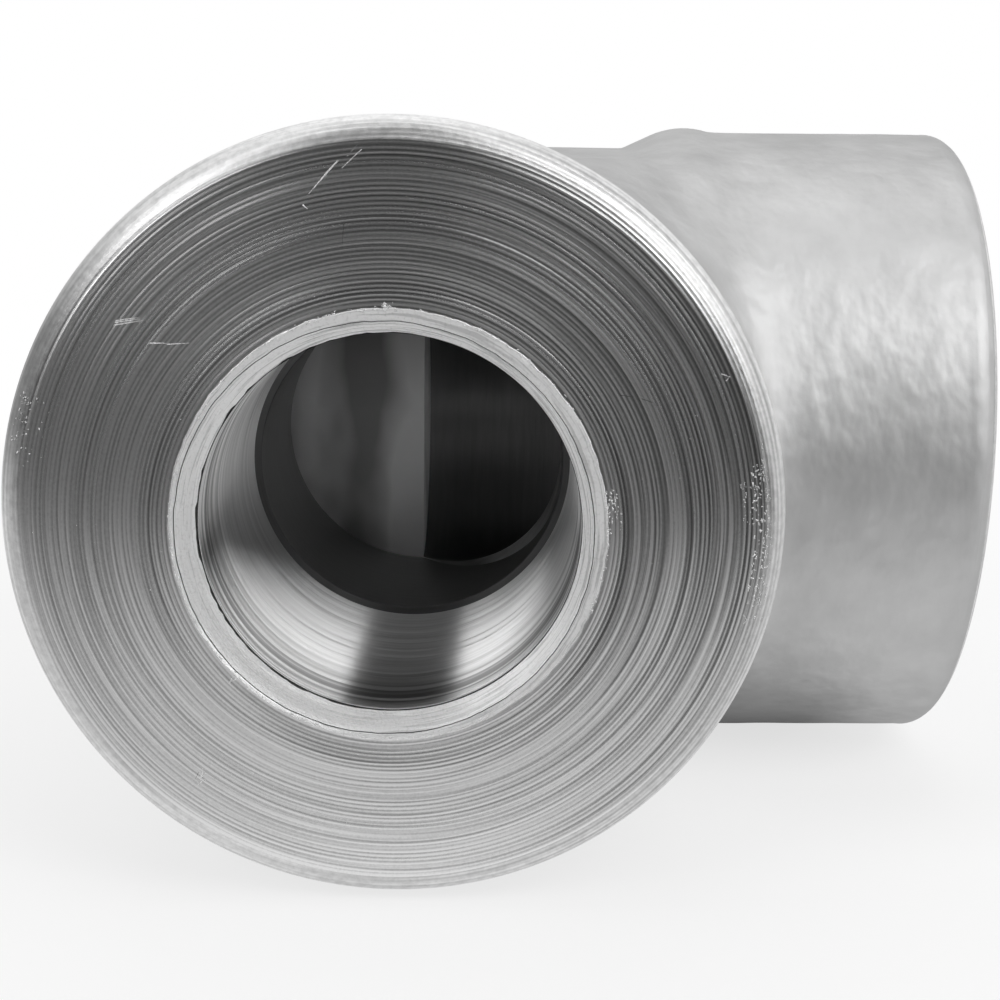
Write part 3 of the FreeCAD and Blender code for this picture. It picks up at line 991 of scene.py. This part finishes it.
def chamfered_material():
    """The chamfer, the lip and the slivers, bright and brushed round the arm."""
    metal = Metal("chamfered_metal", anisotropic=0.3)
    metal.surface["Metallic"].default_value = 0.62
    streaks = metal.noise(metal.ring_place(0.03), scale=9.0, detail=1.0, roughness=0.6)
    specks = metal.noise(metal.place(), scale=7.0, roughness=0.6)
    slope = metal.span(streaks, 0.0, 0.44, *MOST)
    normal = metal.bump(specks, distance=0.03, strength=0.6, normal=metal.lean(slope))
    level = metal.product(
        metal.span(streaks, 0.7, 1.0, 0.36, 0.5),
        metal.span(specks, 0.88, 1.0, 0.3, 0.48),
    )
    return metal.dress(metal.tint(level), metal.span(specks, 0.46, 0.56), normal)


def crevice_shade_material():
    """Painted shade in the torn edge of the bore, in the line round the chamfer and in the nicks.
    """
    metal = Metal("painted_crevice_shade")
    crevice_noise = metal.noise(metal.place(), scale=6.0, roughness=0.6)
    normal = metal.bump(crevice_noise, distance=0.03, strength=0.8)
    return metal.dress(metal.tint(crevice_noise, 0.02, 0.2), metal.span(crevice_noise, 0.5, 0.7), normal)


def bored_material():
    """The turned wall of the bore, whose marks throw the light far along the axis, with painted
    light near the mouth that grows towards the top.
    """
    metal = Metal("bored_metal", anisotropic=1.0)
    place = metal.ring_place(0.01)
    fine = metal.noise(place, scale=9.0, detail=1.0)
    streaks = metal.noise(place, scale=1.3)
    rings = metal.noise(place, scale=2.1, detail=1.0)
    steep = metal.span(fine, 1.1, 1.9, *MOST)
    slope = metal.math("ADD", steep, metal.span(streaks, -0.4, 0.4, *MOST))
    where = metal.split(metal.place())
    outward = metal.math("MAXIMUM", where["X"], metal.math("MULTIPLY", where["Y"], -1.0))
    near_mouth = metal.span(outward, 0.0, 1.0, start=24, end=31)
    deep_level = metal.span(rings, 0.72, 0.86, *MOST)
    # Near the mouth: dark turning rings, and painted light that makes the wall lighter towards the
    # top and darker at the bottom.
    mouth_level = metal.product(
        metal.span(where["Z"], 0.7, 1.6, start=-6, end=2),
        metal.span(rings, 0.22, 0.8, 0.4, 0.6),
    )
    level = metal.blend(near_mouth, deep_level, mouth_level)
    return metal.dress(metal.tint(level), metal.span(fine, 0.3, 0.34), metal.lean(slope))


def drilled_material():
    """The drilled passage, duller than the turned wall."""
    metal = Metal("drilled_metal", anisotropic=0.5)
    marks = metal.noise(metal.ring_place(0.05), scale=3.0, detail=3.0, roughness=0.6)
    normal = metal.bump(marks, distance=0.03, strength=0.8)
    return metal.dress(metal.tint(marks, 0.15, 0.24), metal.span(marks, 0.3, 0.45), normal)


def milled_material():
    """The flat end of the passage, with broad upright marks of the cutter, painted bright bands of
    reflected light, and painted shade towards its top.
    """
    metal = Metal("milled_metal")
    where = metal.split(metal.place())
    stretched = metal.combine(where["X"], where["Y"], metal.math("MULTIPLY", where["Z"], 0.5))
    marks = metal.noise(stretched, scale=0.24)
    # Painted reflections: bright upright bands across the flat end.
    wave = metal.math("SINE", metal.math("MULTIPLY_ADD", where["X"], 0.95, 2.2))
    streaks = metal.math("ADD", marks, metal.span(wave, -0.25, 0.25, start=-1.0, end=1.0))
    # Painted shade, darker towards the top.
    level = metal.product(
        metal.span(streaks, 0.4, 1.0, *MOST),
        metal.span(where["Z"], 1.0, 0.45, start=1, end=7),
    )
    normal = metal.bump(marks, distance=0.2, strength=0.8)
    return metal.dress(metal.tint(level), metal.span(marks, 0.42, 0.5), normal)


def make_camera():
    """The photograph's view: close in front of arm a's face, a little above it."""
    image = 1000
    focal_pixels = 1727.9
    optical_centre = 580
    position = Vector((5.86, -FACE - 80.79, 17.30)) * MILLIMETRE
    pitch, yaw, roll = (math.radians(turn) for turn in (13.655, -0.33, 0.961))
    level_ahead = Vector((math.sin(yaw), math.cos(yaw), 0))
    ahead = level_ahead * math.cos(pitch) - Vector((0, 0, math.sin(pitch)))
    level = Vector((math.cos(yaw), -math.sin(yaw), 0))
    upright = level.cross(ahead)
    right = level * math.cos(roll) + upright * math.sin(roll)
    up = upright * math.cos(roll) - level * math.sin(roll)
    data = bpy.data.cameras.new("camera")
    data.sensor_width = 36
    data.lens = focal_pixels / image * data.sensor_width
    data.shift_y = (optical_centre - image / 2) / image
    data.clip_start = 0.005
    turn = Matrix((right, up, -ahead)).transposed().to_4x4()
    bpy.context.scene.camera = link("camera", data, Matrix.Translation(position) @ turn)


# The softboxes' plane in front of the bend, and their reach from arm a's axis, in metres.
LAMP_PLANE = 0.2
LAMP_INNER = 0.13
LAMP_OUTER = 0.52


def add_lamp(name, pose, width, height, radiance):
    """A soft lamp, given the brightness of its surface, that the camera doesn't see."""
    data = bpy.data.lights.new(name, "AREA")
    data.shape = "RECTANGLE"
    data.size = width
    data.size_y = height
    data.energy = radiance * math.pi * width * height
    link(name, data, pose).visible_camera = False


def add_softbox(name, edge, side, gap, width, radiance):
    """A soft lamp in front of the bend.

    Its near edge lies along a ray from arm a's axis at the edge angle in degrees, moved sideways by
    the gap, and it reaches its width to that side: 1 for a growing angle, -1 for a shrinking one.
    """
    turn = math.radians(edge)
    outward = Vector((math.cos(turn), 0, math.sin(turn)))
    sideways = Vector((-math.sin(turn), 0, math.cos(turn))) * side
    front = Vector((0, -1, 0))
    middle = outward * (LAMP_INNER + LAMP_OUTER) / 2 + sideways * (gap + width / 2)
    facing_bend = Matrix((outward.cross(front), outward, front)).transposed().to_4x4()
    pose = Matrix.Translation(middle + front * LAMP_PLANE) @ facing_bend
    add_lamp(name, pose, width, LAMP_OUTER - LAMP_INNER, radiance)


def add_panel(name, place, width, height, radiance):
    """A small soft lamp that faces the bend from outside the view of the bore's wall."""
    place = Vector(place)
    facing_bend = place.to_track_quat("Z", "Y").to_matrix().to_4x4()
    add_lamp(name, Matrix.Translation(place) @ facing_bend, width, height, radiance)


def make_lights():
    """Softboxes for the turned metal on both sides of the view, and two panels for the rest."""
    add_softbox("lamp_right", edge=76, side=-1, gap=0, width=0.47, radiance=2.75)
    add_softbox("lamp_left", edge=120, side=1, gap=0, width=0.14, radiance=2.8)
    add_softbox("lamp_far_left", edge=120, side=1, gap=0.14, width=0.3, radiance=0.6)
    add_panel("lamp_overhead", (-0.05, 0.0, 0.5), width=0.24, height=0.4, radiance=1.3)
    add_panel("lamp_beside", (0.48, -0.1, 0.34), width=0.16, height=0.16, radiance=1.6)


def make_world():
    """White behind the object, for the camera and in the metal, and a dim room in front of it."""
    world = bpy.data.worlds.new("studio")
    bpy.context.scene.world = world
    world.use_nodes = True
    nodes = Nodes(world.node_tree)
    direction = nodes.add("ShaderNodeTexCoord").outputs["Generated"]
    room = nodes.span(nodes.split(direction)["Y"], 0.05, 0.85, start=-0.35, end=0.4)
    path = nodes.add("ShaderNodeLightPath").outputs
    background = nodes.tree.nodes["Background"].inputs
    background["Color"].default_value = (1, 1, 1, 1)
    nodes.feed(background["Strength"], nodes.blend(path["Is Camera Ray"], room, 1.0))


def floor_material():
    """White paper that keeps the part's shadow and turns pure white far away.

    Seen in the metal it glows by itself, less in front of the part, with a painted shadow under it.
    """
    material = bpy.data.materials.new("floor_paper")
    material.use_nodes = True
    nodes = Nodes(material.node_tree)
    nodes.tree.nodes.remove(nodes.tree.nodes["Principled BSDF"])
    path = nodes.add("ShaderNodeLightPath").outputs
    place = nodes.place()
    flat = nodes.split(place)
    far = nodes.vector("LENGTH", {0: place}, "Value")
    beside = nodes.math(
        "MINIMUM",
        nodes.math("ABSOLUTE", flat["X"]),
        nodes.math("ABSOLUTE", flat["Y"]),
    )
    front = nodes.math(
        "ADD",
        nodes.span(flat["Y"], 0.08, 0.54, start=-130, end=-62),
        nodes.span(flat["Y"], 0.0, 0.2, start=-46, end=-37),
    )
    # The part's shadow, painted into the floor's glow as the metal sees it.
    shade = nodes.math(
        "MAXIMUM",
        nodes.span(beside, 0.1, 1.0, start=2, end=26),
        nodes.span(far, 0.0, 1.0, start=30, end=38),
    )
    strength = nodes.blend(path["Is Camera Ray"], nodes.math("MULTIPLY", front, shade), 1.0)
    whitened = nodes.product(path["Is Camera Ray"], nodes.span(far, 0.7, 1.0, start=50, end=140))
    seen_in_metal = nodes.math("MAXIMUM", path["Is Glossy Ray"], path["Is Transmission Ray"])
    share = nodes.math("MAXIMUM", whitened, seen_in_metal)
    paper = nodes.add("ShaderNodeBsdfDiffuse", {"Color": (0.9, 0.9, 0.9, 1)}).outputs[0]
    white = nodes.add("ShaderNodeEmission", {"Strength": strength}).outputs[0]
    mix = nodes.add("ShaderNodeMixShader", {0: share, 1: paper, 2: white}).outputs[0]
    nodes.feed(nodes.tree.nodes["Material Output"].inputs["Surface"], mix)
    return material


def make_floor():
    """A plain white floor under the elbow."""
    reach = 6.0
    level = LOW.z * MILLIMETRE
    corners = [(x * reach, y * reach, level) for x, y in ((-1, -1), (1, -1), (1, 1), (-1, 1))]
    mesh = bpy.data.meshes.new("floor")
    mesh.from_pydata(corners, [], [(0, 1, 2, 3)])
    mesh.materials.append(floor_material())
    floor = link("floor", mesh)


make_camera()
elbow = make_elbow()
# The finishes, in the order of their numbers.
for make_material in (
    forged_material,
    broken_edge_material,
    turned_material,
    chamfered_material,
    crevice_shade_material,
    bored_material,
    drilled_material,
    milled_material,
):
    elbow.data.materials.append(make_material())
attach(elbow, "root")
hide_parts(NODE)
make_floor()
make_world()
make_lights()
bpy.context.scene.view_settings.view_transform = "Standard"
